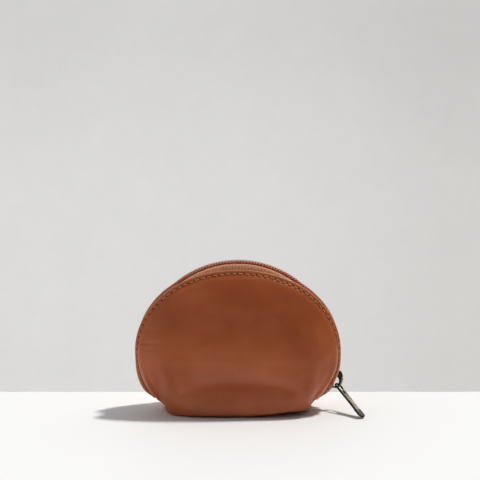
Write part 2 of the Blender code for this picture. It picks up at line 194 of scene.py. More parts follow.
def leather_face(u, v, back=False):
    """Outer face of a leather half with its seams, folds and bulges."""
    u, v = np.broadcast_arrays(np.asarray(u, float), np.asarray(v, float))
    p = shell(u, v)
    n = normals(u, v)
    e = np.clip(v, 0, 1) * drop_length(u)
    x, z = p[..., 0], p[..., 2]
    seed = 40 if back else 10
    s = u * ARCH_LENGTH
    side = 1 - smooth((np.minimum(u, 1 - u) - 0.10) / 0.12)
    out = np.zeros_like(e)
    # the topstitch pulls the leather in, each hole a little more
    out -= 0.26 * bell(e - STITCH_IN, 0.75)
    hole = (s / ARCH_LENGTH - STITCH_FROM) / (1 - 2 * STITCH_FROM) * STITCHES
    near = np.abs(hole - np.round(hole)) * STITCH_PITCH
    out -= 0.22 * bell(near, 0.5) * bell(e - STITCH_IN, 0.5)
    # it swells again just inside the seam, most at the lower sides
    out += (0.25 + 1.25 * side) * smooth((e - 2.3) / 3.0) * (1 - smooth((e - 5.0) / 8.0)) * smooth(np.minimum(u, 1 - u) / 0.03)
    # pinched leather over the two box corners
    for sx, cx, cz, gain in ((1, 37.2, 12.5, 1.15), (-1, -35.8, 13.0, 1.05)):
        lean = (z - cz) * 0.16 * sx
        out += gain * bell(x - cx - lean, 3.8) * bell(z - cz, 9.0) * smooth(z / 5.0)
        out -= 0.8 * bell(x - cx - lean - sx * 5.4, 2.8) * bell(z - cz - 4.5, 8.0)
    # soft crease over the boxed band, an arch from corner to corner
    crease = 18.6 - 8.6 * (np.abs(x - 1.5) / 35.0) ** 2.2
    out -= 0.36 * bell(z - crease, 3.4) * smooth((38.0 - np.abs(x)) / 10.0)
    out += 0.22 * bell(z - crease - 7.0, 5.0) * smooth((38.0 - np.abs(x)) / 12.0)
    if not back:
        # short creases running in from the left edge
        for cz, slope, gain, reach in ((38.2, 0.10, 0.26, 9.0), (35.4, 0.02, 0.16, 6.0), (46.0, -0.08, 0.13, 7.0)):
            out -= gain * bell(z - cz - slope * (x + 50), 0.8) * smooth((x + 52.5) / 3.0) * (1 - smooth((x + 50.0 - reach * 0.4) / reach))
    else:
        for cz, slope, gain, reach in ((41.0, -0.06, 0.2, 9.0), (33.0, 0.05, 0.15, 7.0)):
            out -= gain * bell(z - cz + slope * (x - 50), 0.8) * smooth((52.5 - x) / 3.0) * (1 - smooth((50.0 - x - reach * 0.4) / reach))
    inner = smooth((e - 4.0) / 10.0)
    out += inner * (0.26 * waves(x, z * 0.8, seed, 34.0) + 0.07 * waves(x, z, seed + 1, 12.0))
    # handled leather is never quite even along its edge
    out += 0.10 * waves(s, 0 * s, seed + 2, 30.0) * (1 - inner)
    # the cut edge's outer corner is rubbed round
    out -= 0.32 * np.clip(1 - e / 0.55, 0, 1) ** 2
    # at the lower sides the leather only swells forwards, so the sewn edge stays the outline
    low = side * smooth((34.0 - z) / 12.0)
    way = n * (1 - low)[..., None] + np.array([0.0, -1.0, 0.0]) * low[..., None]
    p = p + unit(way) * out[..., None]
    p[..., 2] += lift(p[..., 0], p[..., 1]) * (1 - smooth((z - 1.0) / 22.0)) if not back else 0.0
    return p


def chain_point(deg, y, c=0.0):
    a = np.radians(deg)
    deg, y, c = np.broadcast_arrays(deg, y, c)
    return np.stack([(CHAIN_R + c) * np.cos(a) + 0 * y, y + 0 * a, CHAIN_Z + (CHAIN_R + c) * np.sin(a) + 0 * y], axis=-1)


def parting(deg):
    return PART_Y * smooth((CLOSED_DEG + 0.5 - np.asarray(deg, float)) / 4.0)


# ------------------------------------------------------------ mesh makers
def make(name, verts, faces, smooth_faces=True, attributes=None, indices=None):
    mesh = bpy.data.meshes.new(name)
    mesh.from_pydata((np.asarray(verts) * MM).tolist(), [], faces)
    if smooth_faces:
        mesh.polygons.foreach_set("use_smooth", [True] * len(mesh.polygons))
    for key, values in (attributes or {}).items():
        layer = mesh.attributes.new(key, "FLOAT", "POINT")
        layer.data.foreach_set("value", np.asarray(values, np.float32))
    if indices is not None:
        mesh.polygons.foreach_set("material_index", np.asarray(indices, np.int32))
    mesh.update()
    ob = bpy.data.objects.new(name, mesh)
    bpy.context.scene.collection.objects.link(ob)
    return ob


def grid_faces(n, m, start=0, flip=False):
    i, j = np.meshgrid(np.arange(n - 1), np.arange(m - 1), indexing="ij")
    a = start + i * m + j
    quads = np.stack([a, a + m, a + m + 1, a + 1], axis=-1).reshape(-1, 4)
    return quads[:, ::-1] if flip else quads


def slab(name, outer, inner, attributes=None, flip=False):
    """A closed sheet between two grids. Faces: 0 outer, 1 cut edge, 2 inner."""
    n, m = outer.shape[:2]
    verts = np.concatenate([outer.reshape(-1, 3), inner.reshape(-1, 3)])
    k = n * m
    faces = [grid_faces(n, m, 0, flip), grid_faces(n, m, k, not flip)]
    rim = [(i, 0) for i in range(n)] + [(n - 1, j) for j in range(1, m)] + [(i, m - 1) for i in range(n - 2, -1, -1)] + [(0, j) for j in range(m - 2, 0, -1)]
    rim = np.array([i * m + j for i, j in rim])
    nxt = np.roll(rim, -1)
    edge = np.stack([rim, rim + k, nxt + k, nxt], axis=-1)
    if flip:
        edge = edge[:, ::-1]
    faces.append(edge)
    index = np.concatenate([np.zeros(len(faces[0])), np.full(len(faces[1]), 2), np.ones(len(edge))])
    attributes = {key: np.concatenate([v.reshape(-1), v.reshape(-1)]) for key, v in (attributes or {}).items()}
    return make(name, verts, np.concatenate(faces).tolist(), True, attributes, index)


def tubes(name, lines, radius, sides=8, flat=1.0, attributes=None):
    """Round threads or wires along polylines, with closed ends. radius is a number, one for each point, or a function
    of the point count.
    """
    verts, faces = [], []
    count = 0
    for line in lines:
        p = np.asarray(line, float)
        n = len(p)
        r = np.broadcast_to(radius if not callable(radius) else radius(n), (n,))
        t = unit(np.gradient(p, axis=0))
        ref = np.array([0.0, 1.0, 0.0]) if abs(t[0][1]) < 0.9 else np.array([1.0, 0, 0])
        a = unit(ref - t[0] * (ref @ t[0]))
        frames = []
        for k in range(n):
            a = unit(a - t[k] * (a @ t[k]))
            frames.append(a)
        a = np.array(frames)
        b = np.cross(t, a)
        ang = np.linspace(0, 2 * math.pi, sides, endpoint=False)
        ring = p[:, None] + r[:, None, None] * (np.cos(ang)[None, :, None] * a[:, None] + flat * np.sin(ang)[None, :, None] * b[:, None])
        verts.append(ring.reshape(-1, 3))
        i, j = np.meshgrid(np.arange(n - 1), np.arange(sides), indexing="ij")
        q0 = count + i * sides + j
        q1 = count + i * sides + (j + 1) % sides
        faces += np.stack([q0, q1, q1 + sides, q0 + sides], axis=-1).reshape(-1, 4).tolist()
        faces.append([count + k for k in range(sides)][::-1])
        faces.append([count + (n - 1) * sides + k for k in range(sides)])
        count += n * sides
    ob = make(name, np.concatenate(verts), faces)
    bm = bmesh.new()
    bm.from_mesh(ob.data)
    bmesh.ops.recalc_face_normals(bm, faces=bm.faces)
    bm.to_mesh(ob.data)
    bm.free()
    return ob


def mirrored(points):
    p = np.array(points, float)
    p[..., 1] *= -1
    return p


# ------------------------------------------------------------ materials
def nodes_of(name):
    mat = bpy.data.materials.new(name)
    mat.use_nodes = True
    tree = mat.node_tree
    return mat, tree, tree.nodes["Principled BSDF"]


def add(tree, kind, inputs=None, **props):
    node = tree.nodes.new(kind)
    for key, value in props.items():
        setattr(node, key, value)
    for key, value in (inputs or {}).items():
        if hasattr(value, "is_output"):
            tree.links.new(value, node.inputs[key])
        else:
            node.inputs[key].default_value = value
    return node


def noise(tree, scale, detail=4.0, rough=0.55, vector=None, distortion=0.0):
    vector = vector or add(tree, "ShaderNodeTexCoord").outputs["Object"]
    return add(tree, "ShaderNodeTexNoise", {"Vector": vector, "Scale": scale, "Detail": detail, "Roughness": rough, "Distortion": distortion}).outputs["Fac"]


def ramp(tree, fac, stops):
    node = add(tree, "ShaderNodeValToRGB", {"Fac": fac})
    els = node.color_ramp.elements
    while len(els) < len(stops):
        els.new(0.5)
    for el, (pos, col) in zip(els, stops):
        el.position = pos
        el.color = (*col, 1) if hasattr(col, "__len__") else (col, col, col, 1)
    return node.outputs["Color"]


def math_node(tree, operation, a, b=None, clamp=False):
    node = add(tree, "ShaderNodeMath", operation=operation, use_clamp=clamp)
    for k, value in enumerate((a, b)):
        if value is None:
            continue
        if hasattr(value, "is_output"):
            tree.links.new(value, node.inputs[k])
        else:
            node.inputs[k].default_value = value
    return node.outputs[0]


def mix(tree, fac, a, b, blend="MIX"):
    node = add(tree, "ShaderNodeMix", data_type="RGBA", blend_type=blend)
    for key, value in ((0, fac), (6, a), (7, b)):
        if hasattr(value, "is_output"):
            tree.links.new(value, node.inputs[key])
        elif hasattr(value, "__len__"):
            node.inputs[key].default_value = (*value, 1)
        else:
            node.inputs[key].default_value = value
    return node.outputs[2]


def bump(tree, height, strength, distance, normal=None):
    node = add(tree, "ShaderNodeBump", {"Height": height, "Strength": strength, "Distance": distance})
    if normal:
        tree.links.new(normal, node.inputs["Normal"])
    return node.outputs["Normal"]


def attribute(tree, name):
    return add(tree, "ShaderNodeAttribute", attribute_name=name).outputs["Fac"]


def leather_material(name, tone=1.0, seams=True):
    mat, tree, bsdf = nodes_of(name)
    coord = add(tree, "ShaderNodeTexCoord").outputs["Object"]
    base = (0.430 * tone, 0.094 * tone, 0.026 * tone)
    deep = (0.378 * tone, 0.080 * tone, 0.021 * tone)
    pale = (0.475 * tone, 0.120 * tone, 0.040 * tone)
    broad = noise(tree, 34.0, 3.0, 0.5, coord)
    colour = mix(tree, ramp(tree, broad, [(0.34, 0.0), (0.68, 1.0)]), deep, base)
    mottled = noise(tree, 150.0, 5.0, 0.62, coord, 0.4)
    colour = mix(tree, math_node(tree, "MULTIPLY", ramp(tree, mottled, [(0.42, 0.0), (0.74, 1.0)]), 0.42), colour, pale)
    # fine pores
    pores = add(tree, "ShaderNodeTexVoronoi", {"Vector": coord, "Scale": 2100.0, "Randomness": 1.0}).outputs["Distance"]
    pore_mask = ramp(tree, pores, [(0.0, 1.0), (0.32, 0.0)])
    colour = mix(tree, math_node(tree, "MULTIPLY", pore_mask, 0.22), colour, (0.16 * tone, 0.04 * tone, 0.016 * tone))
    if seams:
        # painted highlight: the leather is painted lighter and more orange where light falls on the belly, the box
        # corners and the shoulders
        painted_highlight = attribute(tree, "painted_highlight")
        colour = mix(tree, math_node(tree, "MULTIPLY", painted_highlight, 0.75, True), colour, (0.64, 0.165, 0.050))
        # painted reflection: a pale band next to the seam at the lower sides stands for the white table reflected in
        # the leather
        painted_reflection = attribute(tree, "painted_reflection")
        colour = mix(tree, math_node(tree, "MULTIPLY", painted_reflection, 0.42, True), colour, (0.66, 0.36, 0.24))
        # rubbed lighter at the cut edge, a darker line along the sewing
        inward = attribute(tree, "edge_in")
        rubbed = ramp(tree, math_node(tree, "DIVIDE", inward, 6.0), [(0.0, 1.0), (0.20, 0.55), (0.34, 0.0)])
        colour = mix(tree, math_node(tree, "MULTIPLY", rubbed, 0.6), colour, (0.60, 0.235, 0.115))
        line = attribute(tree, "seam")
        colour = mix(tree, math_node(tree, "MULTIPLY", line, 0.35), colour, (0.15, 0.038, 0.016))
        # painted shade: the stitch holes are darkened where shade falls into them
        hole_shade = attribute(tree, "holes")
        colour = mix(tree, math_node(tree, "MULTIPLY", hole_shade, 0.92, True), colour, (0.050, 0.014, 0.006))
    tree.links.new(colour, bsdf.inputs["Base Color"])
    smudge = noise(tree, 60.0, 4.0, 0.6, coord)
    fine = noise(tree, 900.0, 3.0, 0.6, coord)
    rough = math_node(tree, "ADD", math_node(tree, "MULTIPLY", smudge, 0.16), math_node(tree, "MULTIPLY", fine, 0.08))
    rough = math_node(tree, "ADD", rough, 0.29)
    if seams:
        rough = math_node(tree, "ADD", rough, math_node(tree, "MULTIPLY", attribute(tree, "holes"), 0.5), True)
    tree.links.new(rough, bsdf.inputs["Roughness"])
    # grain: small irregular cells, then wider hand wrinkles
    cells = add(tree, "ShaderNodeTexVoronoi", {"Vector": coord, "Scale": 1350.0, "Randomness": 1.0}, feature="SMOOTH_F1").outputs["Distance"]
    grain = bump(tree, cells, 0.16, 0.00007)
    wrinkles = noise(tree, 240.0, 6.0, 0.62, coord, 0.6)
    grain = bump(tree, wrinkles, 0.22, 0.00030, grain)
    grain = bump(tree, broad, 0.12, 0.0016, grain)
    tree.links.new(grain, bsdf.inputs["Normal"])
    bsdf.inputs["Specular IOR Level"].default_value = 0.37
    bsdf.inputs["Coat Weight"].default_value = 0.05
    bsdf.inputs["Coat Roughness"].default_value = 0.28
    return mat


def edge_material():
    mat, tree, bsdf = nodes_of("cut_leather_edge")
    coord = add(tree, "ShaderNodeTexCoord").outputs["Object"]
    fibres = noise(tree, 1500.0, 5.0, 0.7, coord, 1.0)
    patch = noise(tree, 260.0, 3.0, 0.5, coord)
    colour = mix(tree, fibres, (0.40, 0.160, 0.085), (0.72, 0.36, 0.225))
    colour = mix(tree, math_node(tree, "MULTIPLY", patch, 0.4), colour, (0.50, 0.205, 0.11))
    tree.links.new(colour, bsdf.inputs["Base Color"])
    bsdf.inputs["Roughness"].default_value = 0.72
    tree.links.new(bump(tree, fibres, 0.5, 0.00012), bsdf.inputs["Normal"])
    return mat


def flesh_material():
    mat, tree, bsdf = nodes_of("leather_flesh_side")
    coord = add(tree, "ShaderNodeTexCoord").outputs["Object"]
    nap = noise(tree, 1300.0, 6.0, 0.75, coord, 1.2)
    cloud = noise(tree, 90.0, 3.0, 0.5, coord)
    colour = mix(tree, nap, (0.20, 0.092, 0.05), (0.34, 0.17, 0.10))
    colour = mix(tree, math_node(tree, "MULTIPLY", cloud, 0.5), colour, (0.24, 0.11, 0.06))
    tree.links.new(colour, bsdf.inputs["Base Color"])
    bsdf.inputs["Roughness"].default_value = 0.9
    bsdf.inputs["Sheen Weight"].default_value = 0.3
    tree.links.new(bump(tree, nap, 0.6, 0.0002), bsdf.inputs["Normal"])
    return mat


def woven_material(name, dark, light, along_pitch, across_pitch, strength=0.7, ribs=0.5, ribbed=False):
    """Cloth whose threads follow the piece: attributes say how far along and across each point is."""
    mat, tree, bsdf = nodes_of(name)
    coord = add(tree, "ShaderNodeTexCoord").outputs["Object"]
    s, t = attribute(tree, "cloth_along"), attribute(tree, "cloth_across")
    wobble = math_node(tree, "MULTIPLY", noise(tree, 700.0, 2.0, 0.5, coord), 0.5)
    a = math_node(tree, "SINE", math_node(tree, "ADD", math_node(tree, "MULTIPLY", s, 2 * math.pi / along_pitch), wobble))
    b = math_node(tree, "SINE", math_node(tree, "ADD", math_node(tree, "MULTIPLY", t, 2 * math.pi / across_pitch), wobble))
    a01 = math_node(tree, "ADD", math_node(tree, "MULTIPLY", a, 0.5), 0.5)
    b01 = math_node(tree, "ADD", math_node(tree, "MULTIPLY", b, 0.5), 0.5)
    weave = math_node(tree, "ADD", math_node(tree, "MULTIPLY", a01, ribs), math_node(tree, "MULTIPLY", b01, 1 - ribs))
    fuzz = noise(tree, 2600.0, 3.0, 0.6, coord)
    tone = math_node(tree, "ADD", math_node(tree, "MULTIPLY", weave, 0.75), math_node(tree, "MULTIPLY", fuzz, 0.25))
    if ribbed:
        tone = ramp(tree, tone, [(0.22, 0.0), (0.56, 1.0)])
    colour = mix(tree, tone, dark, light)
    if ribbed:
        # painted shadow: a dark strip along the tape next to the coil, where the coil shades it
        painted_coil_shadow = ramp(tree, math_node(tree, "DIVIDE", t, 6.0), [(0.46, 1.0), (0.55, 0.0)])
        colour = mix(tree, math_node(tree, "MULTIPLY", painted_coil_shadow, 0.9), colour, (0.055, 0.013, 0.007))
    faded = noise(tree, 110.0, 3.0, 0.5, coord)
    colour = mix(tree, math_node(tree, "MULTIPLY", faded, 0.25), colour, tuple(0.8 * c for c in light))
    tree.links.new(colour, bsdf.inputs["Base Color"])
    bsdf.inputs["Roughness"].default_value = 0.78
    bsdf.inputs["Sheen Weight"].default_value = 0.25
    bsdf.inputs["Sheen Roughness"].default_value = 0.45
    normal = bump(tree, weave, strength, 0.00014)
    tree.links.new(bump(tree, fuzz, 0.25, 0.00006, normal), bsdf.inputs["Normal"])
    return mat


def thread_material(name, dark, light):
    mat, tree, bsdf = nodes_of(name)
    coord = add(tree, "ShaderNodeTexCoord").outputs["Object"]
    turn = add(tree, "ShaderNodeTexWave", {"Vector": coord, "Scale": 900.0, "Distortion": 1.5, "Detail": 2.0}, bands_direction="DIAGONAL").outputs["Fac"]
    fluff = noise(tree, 1800.0, 3.0, 0.6, coord)
    colour = mix(tree, math_node(tree, "MULTIPLY", math_node(tree, "ADD", turn, fluff), 0.5), dark, light)
    tree.links.new(colour, bsdf.inputs["Base Color"])
    bsdf.inputs["Roughness"].default_value = 0.6
    bsdf.inputs["Specular IOR Level"].default_value = 0.3
    tree.links.new(bump(tree, turn, 0.5, 0.00008), bsdf.inputs["Normal"])
    return mat


def nylon_material():
    mat, tree, bsdf = nodes_of("zipper_nylon")
    coord = add(tree, "ShaderNodeTexCoord").outputs["Object"]
    tint = noise(tree, 420.0, 3.0, 0.5, coord)
    colour = mix(tree, tint, (0.46, 0.110, 0.046), (0.68, 0.200, 0.090))
    tree.links.new(colour, bsdf.inputs["Base Color"])
    rub = noise(tree, 1500.0, 2.0, 0.5, coord)
    tree.links.new(math_node(tree, "ADD", math_node(tree, "MULTIPLY", rub, 0.2), 0.42), bsdf.inputs["Roughness"])
    bsdf.inputs["Specular IOR Level"].default_value = 0.35
    tree.links.new(bump(tree, rub, 0.15, 0.00004), bsdf.inputs["Normal"])
    return mat


def brass_material(name="antique_brass", shade=1.0):
    mat, tree, bsdf = nodes_of(name)
    coord = add(tree, "ShaderNodeTexCoord").outputs["Object"]
    cloud = noise(tree, 330.0, 5.0, 0.62, coord, 0.5)
    patina = ramp(tree, cloud, [(0.36, 0.0), (0.66, 1.0)])
    # shade scales the whole colour; the darker and lighter copies made with it are painted shade and painted light
    bright = (0.56 * shade, 0.50 * shade, 0.385 * shade)
    dull = (0.25 * shade, 0.205 * shade, 0.135 * shade)
    colour = mix(tree, patina, dull, bright)
    # edges are rubbed bright and the hollows stay black
    point = add(tree, "ShaderNodeNewGeometry").outputs["Pointiness"]
    worn = ramp(tree, point, [(0.46, 0.0), (0.54, 1.0)])
    colour = mix(tree, math_node(tree, "MULTIPLY", math_node(tree, "SUBTRACT", 1.0, worn), 0.55), colour, (0.035, 0.027, 0.018))
    # painted shade and patina: black on the pieces' shaded sides and hollows
    dark = attribute(tree, "painted_shade_and_patina")
    colour = mix(tree, math_node(tree, "MULTIPLY", dark, 0.95, True), colour, (0.016, 0.014, 0.011))
    tree.links.new(colour, bsdf.inputs["Base Color"])
    bsdf.inputs["Metallic"].default_value = 1.0
    scratch = add(tree, "ShaderNodeTexWave", {"Vector": coord, "Scale": 420.0, "Distortion": 7.0, "Detail": 3.0, "Detail Scale": 2.0}).outputs["Fac"]
    rough = math_node(tree, "ADD", math_node(tree, "MULTIPLY", cloud, 0.2), math_node(tree, "MULTIPLY", scratch, 0.1))
    tree.links.new(math_node(tree, "ADD", rough, 0.24), bsdf.inputs["Roughness"])
    tree.links.new(bump(tree, scratch, 0.12, 0.00004, bump(tree, cloud, 0.15, 0.0001)), bsdf.inputs["Normal"])
    return mat


LEATHER = leather_material("cognac_leather")
LEATHER_BASE = leather_material("cognac_leather_base", 0.93, seams=False)
EDGE = edge_material()
FLESH = flesh_material()
LINING = woven_material("lining_cloth", (0.10, 0.048, 0.03), (0.20, 0.105, 0.065), 0.5, 0.5, 0.6)
TAPE = woven_material("zipper_tape_cloth", (0.40, 0.085, 0.034), (1.0, 0.47, 0.25), 0.80, 0.46, 1.0, 0.85, True)
THREAD = thread_material("rust_thread", (0.46, 0.135, 0.026), (0.78, 0.270, 0.062))
COIL_THREAD = thread_material("coil_thread", (0.40, 0.115, 0.050), (0.66, 0.230, 0.115))
NYLON = nylon_material()
BRASS = brass_material()
# painted shade and painted light: the slider's brass is a darker copy and the tab's a lighter copy of the same brass
BRASS_PAINTED_SHADE = brass_material("antique_brass_painted_shade", shade=0.42)
BRASS_PAINTED_LIGHT = brass_material("antique_brass_tab_painted_light", shade=1.25)


def dress(ob, *mats):
    index = np.empty(len(ob.data.polygons), np.int32)
    ob.data.polygons.foreach_get("material_index", index)
    ob.data.materials.clear()
    for mat in mats:
        ob.data.materials.append(mat)
    ob.data.polygons.foreach_set("material_index", np.minimum(index, len(mats) - 1))
    return ob


# ------------------------------------------------------------ leather halves
def painted_highlight_of(p, edge_in):
    """Painted highlight: where light falls on the belly, the box corners and the shoulders, the leather is painted
    lighter and more orange.
    """
    x, z = p[..., 0], p[..., 2]
    level = 0.62 * bell(z - 32.5 + 0.08 * x, 12.5) * (1 - 0.55 * smooth((np.abs(x + 3) - 20.0) / 26.0))
    level = level + 0.28 * bell(x + 30.0, 9.0) * bell(z - 12.0, 9.0) + 0.22 * bell(x - 45.0, 7.0) * bell(z - 40.0, 20.0)
    level = level + 0.55 * bell(x + 27.0, 14.0) * bell(z - 67.0, 8.0)
    return np.clip(level + 0.10 * waves(x, z, 90, 22.0), 0, 1) * smooth((edge_in - 1.0) / 4.0)


def painted_reflection_of(p, edge_in):
    # painted reflection of the table: a pale band next to the seam on the lower sides
    x, z = p[..., 0], p[..., 2]
    low = smooth((z - 3.0) / 5.0) * (1 - smooth((z - 26.0) / 14.0)) * smooth((np.abs(x) - 36.0) / 6.0)
    return low * bell(edge_in - 4.4, 1.5) * (0.8 + 0.2 * waves(x, z, 77, 15.0))


def leather_half(name, back):
    count_u = 640
    t = np.linspace(0, 1, count_u)
    u = t[:, None]
    length = np.maximum(drop_length(t), 0.5)[:, None]
    # rows: close together at the sewn edge and over the fold
    head = np.minimum(7.0, 0.34 * length)
    rows_head = np.linspace(0, 1, 25)[None, :] * head / length
    rows_body = head / length + (1 - head / length) * (np.linspace(0, 1, 74)[None, 1:])
    v = np.concatenate([rows_head, rows_body], axis=1)
    uu = np.broadcast_to(u, v.shape)
    outer = leather_face(uu, v, back)
    # the fold: the sheet turns under the base and runs a little way in
    foot = outer[:, -1]
    along = unit(np.gradient(foot[:, :2], axis=0))
    outward = np.stack([-along[:, 1], along[:, 0]], axis=1)
    outward = np.where((outward * foot[:, :2]).sum(1, keepdims=True) < 0, -outward, outward)
    raise_z = foot[:, 2] - FOOT_Z
    fold_r = 1.72
    extra = []
    for a in np.radians(np.linspace(12, 90, 8)):
        xy = foot[:, :2] + outward * (fold_r * math.cos(a) - fold_r)
        extra.append(np.concatenate([xy, (FOOT_Z - fold_r * math.sin(a) + raise_z)[:, None]], axis=1))
    reach = np.minimum(3.2, 0.55 * np.abs(foot[:, 1]))
    for d in (0.25, 0.55, 0.8, 1.0):
        xy = foot[:, :2] - outward * (fold_r + reach[:, None] * d)
        bottom = FOOT_Z - fold_r + raise_z
        flat = lift(xy[:, 0], xy[:, 1]) + FOOT_Z - fold_r if not back else bottom
        extra.append(np.concatenate([xy, (bottom + (flat - bottom) * d)[:, None]], axis=1))
    outer = np.concatenate([outer, np.stack(extra, axis=1)], axis=1)
    edge_in = np.concatenate([v * length, np.full((count_u, len(extra)), 60.0)], axis=1)
    du = np.gradient(outer, axis=0)
    dv = np.gradient(outer, axis=1)
    n = unit(np.cross(du, dv))
    # the sheet keeps its thickness; where it turns tightly the inside is smoothed
    wall = LEATHER_T * (1 - 0.10 * bell(edge_in - STITCH_IN, 0.7))
    # smooth the inner offset so that it doesn't fold over itself
    ns = n.copy()
    for _ in range(12):
        ns[1:-1] = unit(ns[:-2] + ns[1:-1] * 2 + ns[2:])
        ns[:, 1:-1] = unit(ns[:, :-2] + ns[:, 1:-1] * 2 + ns[:, 2:])
    inner = outer - ns * wall[..., None]
    # under the base the sheet lies flat
    inner[:, -5:] = outer[:, -5:] + np.array([0.0, 0.0, LEATHER_T])
    inner[..., 2] = np.maximum(inner[..., 2], np.minimum(outer[..., 2], 0.6) + 0.03)
    # at the two box corners both halves meet on the middle plane
    inner[..., 1] = np.minimum(inner[..., 1], -0.04)
    outer[..., 1] = np.minimum(outer[..., 1], -0.05)
    s = np.broadcast_to(u, edge_in.shape) * ARCH_LENGTH
    hole = (s / ARCH_LENGTH - STITCH_FROM) / (1 - 2 * STITCH_FROM) * STITCHES
    inside_run = (hole > -0.3) & (hole < STITCHES + 0.3)
    near = np.abs(hole - np.round(hole)) * STITCH_PITCH
    # the stitch holes, which the leather material darkens as painted shade
    holes = bell(near, 0.42) * bell(edge_in - STITCH_IN, 0.42) * inside_run
    seam = bell(edge_in - STITCH_IN, 0.6) * inside_run
    if back:
        outer, inner = mirrored(outer), mirrored(inner)
    attributes = {"edge_in": edge_in, "holes": holes, "seam": seam, "painted_highlight": painted_highlight_of(outer, edge_in), "painted_reflection": painted_reflection_of(outer, edge_in)}
    return dress(slab(name, outer, inner, attributes, flip=back), LEATHER, EDGE, FLESH)


front_leather = leather_half("front_leather", False)
back_leather = leather_half("back_leather", True)


def foot_loop(half_x, half_y, count):
    a = np.linspace(0, 2 * math.pi, count, endpoint=False)
    c, s = np.cos(a), np.sin(a)
    return np.stack([half_x * np.sign(c) * np.abs(c) ** (2 / FOOT_POWER), half_y * np.sign(s) * np.abs(s) ** (2 / FOOT_POWER)], axis=1)


def floor_sheet(name, half_x, half_y, low, thick, mats, rings=14, count=160, flip=False):
    """A flat sheet inside the boxed base, following the lifted corner."""
    loop = foot_loop(half_x, half_y, count)
    scale = np.linspace(0.02, 1, rings)
    pts = loop[None] * scale[:, None, None]
    x, y = pts[..., 0], pts[..., 1]
    rise = lift(x, y)
    ease = 0.25 * (1 - np.clip((1 - scale) * 12, 0, 1))[:, None] ** 2
    top = np.stack([x, y, low + thick + rise - ease * thick + 0 * x], axis=-1)
    bottom = np.stack([x, y, low + rise + ease * thick + 0 * x], axis=-1)
    verts = np.concatenate([bottom.reshape(-1, 3), top.reshape(-1, 3)])
    k = rings * count
    faces, index = [], []
    for i in range(rings - 1):
        for j in range(count):
            j2 = (j + 1) % count
            a, b, c, d = i * count + j, i * count + j2, (i + 1) * count + j2, (i + 1) * count + j
            faces.append((a, b, c, d))
            index.append(0)
            faces.append((d + k, c + k, b + k, a + k))
            index.append(2)
    for j in range(count):
        j2 = (j + 1) % count
        a, b = (rings - 1) * count + j, (rings - 1) * count + j2
        faces.append((a, b, b + k, a + k))
        index.append(1)
    faces.append([j for j in range(count)][::-1])
    index.append(0)
    faces.append([j + k for j in range(count)])
    index.append(2)
    attributes = {
        "cloth_along": np.concatenate([x.reshape(-1)] * 2),
        "cloth_across": np.concatenate([y.reshape(-1)] * 2),
        "edge_in": np.full(2 * k, 60.0),
        "holes": np.zeros(2 * k),
        "seam": np.zeros(2 * k),
    }
    ob = make(name, verts, faces, True, attributes, index)
    bm = bmesh.new()
    bm.from_mesh(ob.data)
    bmesh.ops.recalc_face_normals(bm, faces=bm.faces)
    bm.to_mesh(ob.data)
    bm.free()
    return dress(ob, *mats)


base_leather = floor_sheet("base_leather", CORNER_X - 4.6, BASE_HALF_DEPTH - 3.4, 0.03, 1.2, (LEATHER_BASE, EDGE, FLESH))
base_lining_cloth = floor_sheet("base_lining_cloth", CORNER_X - 2.6, BASE_HALF_DEPTH - 1.9, 1.72, 0.35, (LINING, LINING, LINING))


# ------------------------------------------------------------ lining
def lining_half(name, back):
    u = np.linspace(0.05, 0.95, 200)[:, None]
    length = drop_length(u[:, 0])[:, None]
    top = np.maximum(0.03, 7.6 / length)
    v = top + (0.975 - top) * np.linspace(0, 1, 46)[None]
    uu = np.broadcast_to(u, v.shape)
    p = leather_face(uu, v, back)
    n = unit(np.cross(np.gradient(p, axis=0), np.gradient(p, axis=1)))
    for _ in range(25):
        n[1:-1] = unit(n[:-2] + n[1:-1] * 2 + n[2:])
        n[:, 1:-1] = unit(n[:, :-2] + n[:, 1:-1] * 2 + n[:, 2:])
    loose = 0.30 * (1 + waves(p[..., 0], p[..., 2], 71 if back else 61, 13.0)) * np.sin(math.pi * np.clip((v - top) / (0.975 - top), 0, 1))
    outer = p - n * (LEATHER_T + 0.75 + loose)[..., None]
    inner = outer - n * 0.35
    outer[..., 1], inner[..., 1] = np.minimum(outer[..., 1], -1.3), np.minimum(inner[..., 1], -0.95)
    attributes = {"cloth_along": outer[..., 0], "cloth_across": outer[..., 2]}
    if back:
        outer, inner = mirrored(outer), mirrored(inner)
    return dress(slab(name, outer, inner, attributes, flip=back), LINING, LINING, LINING)


front_lining_cloth = lining_half("front_lining_cloth", False)
back_lining_cloth = lining_half("back_lining_cloth", True)


